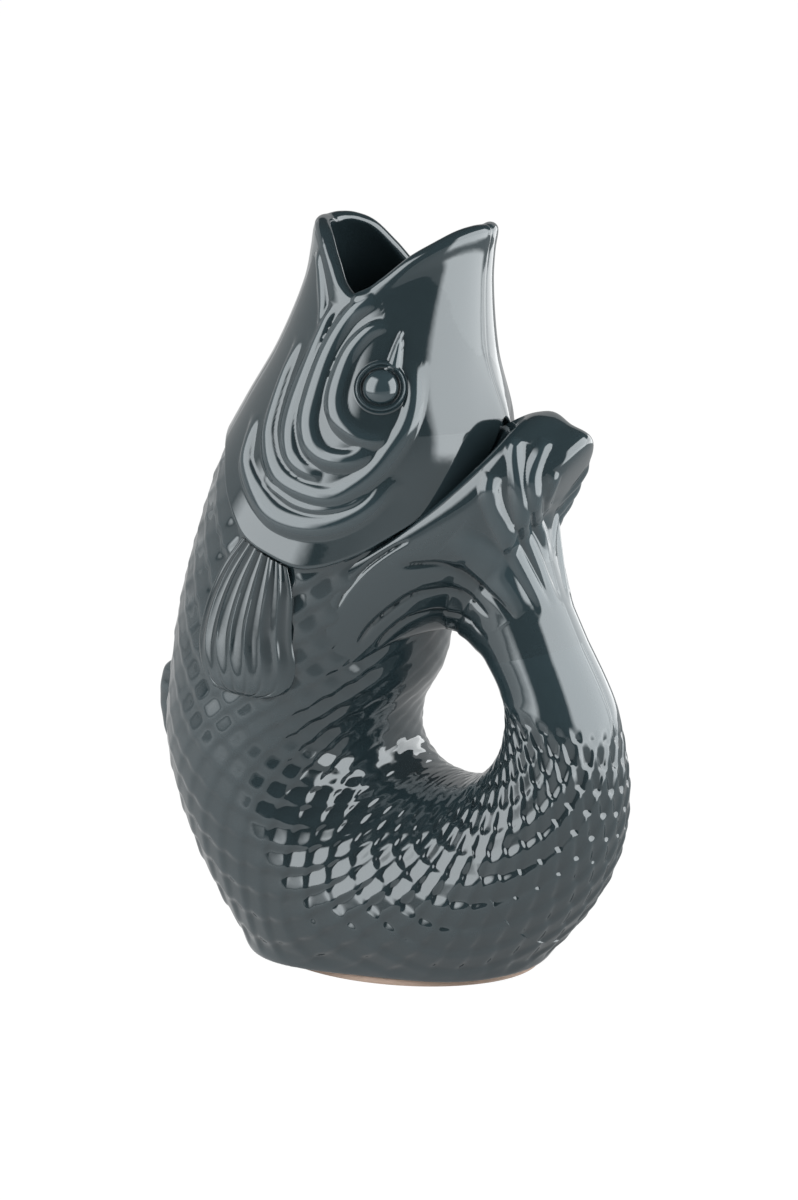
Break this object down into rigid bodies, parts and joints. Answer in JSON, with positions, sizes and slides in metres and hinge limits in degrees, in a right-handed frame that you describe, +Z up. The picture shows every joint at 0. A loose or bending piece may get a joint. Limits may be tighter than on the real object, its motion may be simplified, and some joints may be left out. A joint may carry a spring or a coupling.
{
  "type": "gurgle jug",
  "caption": "Fish-shaped ceramic jug standing on its belly, with an open mouth to pour and a hollow curled tail that forms the handle.",
  "frame": {"origin": "middle of the foot's underside, on the table", "axes": "+Z up, -X the way the belly faces, +X toward the tail, Y across the jug with its left side at -Y"},
  "size_m": [0.1782, 0.1092, 0.2504],
  "materials": {
    "glaze": "glossy dark blue-green grey glaze",
    "bare_clay": "unglazed, matt"
  },
  "bodies": {
    "root": {"head": "glaze", "mouth_rim": "glaze", "left_cheek_folds": "glaze", "right_cheek_folds": "glaze", "body": "glaze", "tail": "glaze", "upper_tail_lobe": "glaze", "lower_tail_lobe": "glaze", "left_side_fin": "glaze", "right_side_fin": "glaze", "belly_fin": "glaze", "left_eye": "glaze", "right_eye": "glaze", "foot": "bare_clay"}
  },
  "joints": []
}
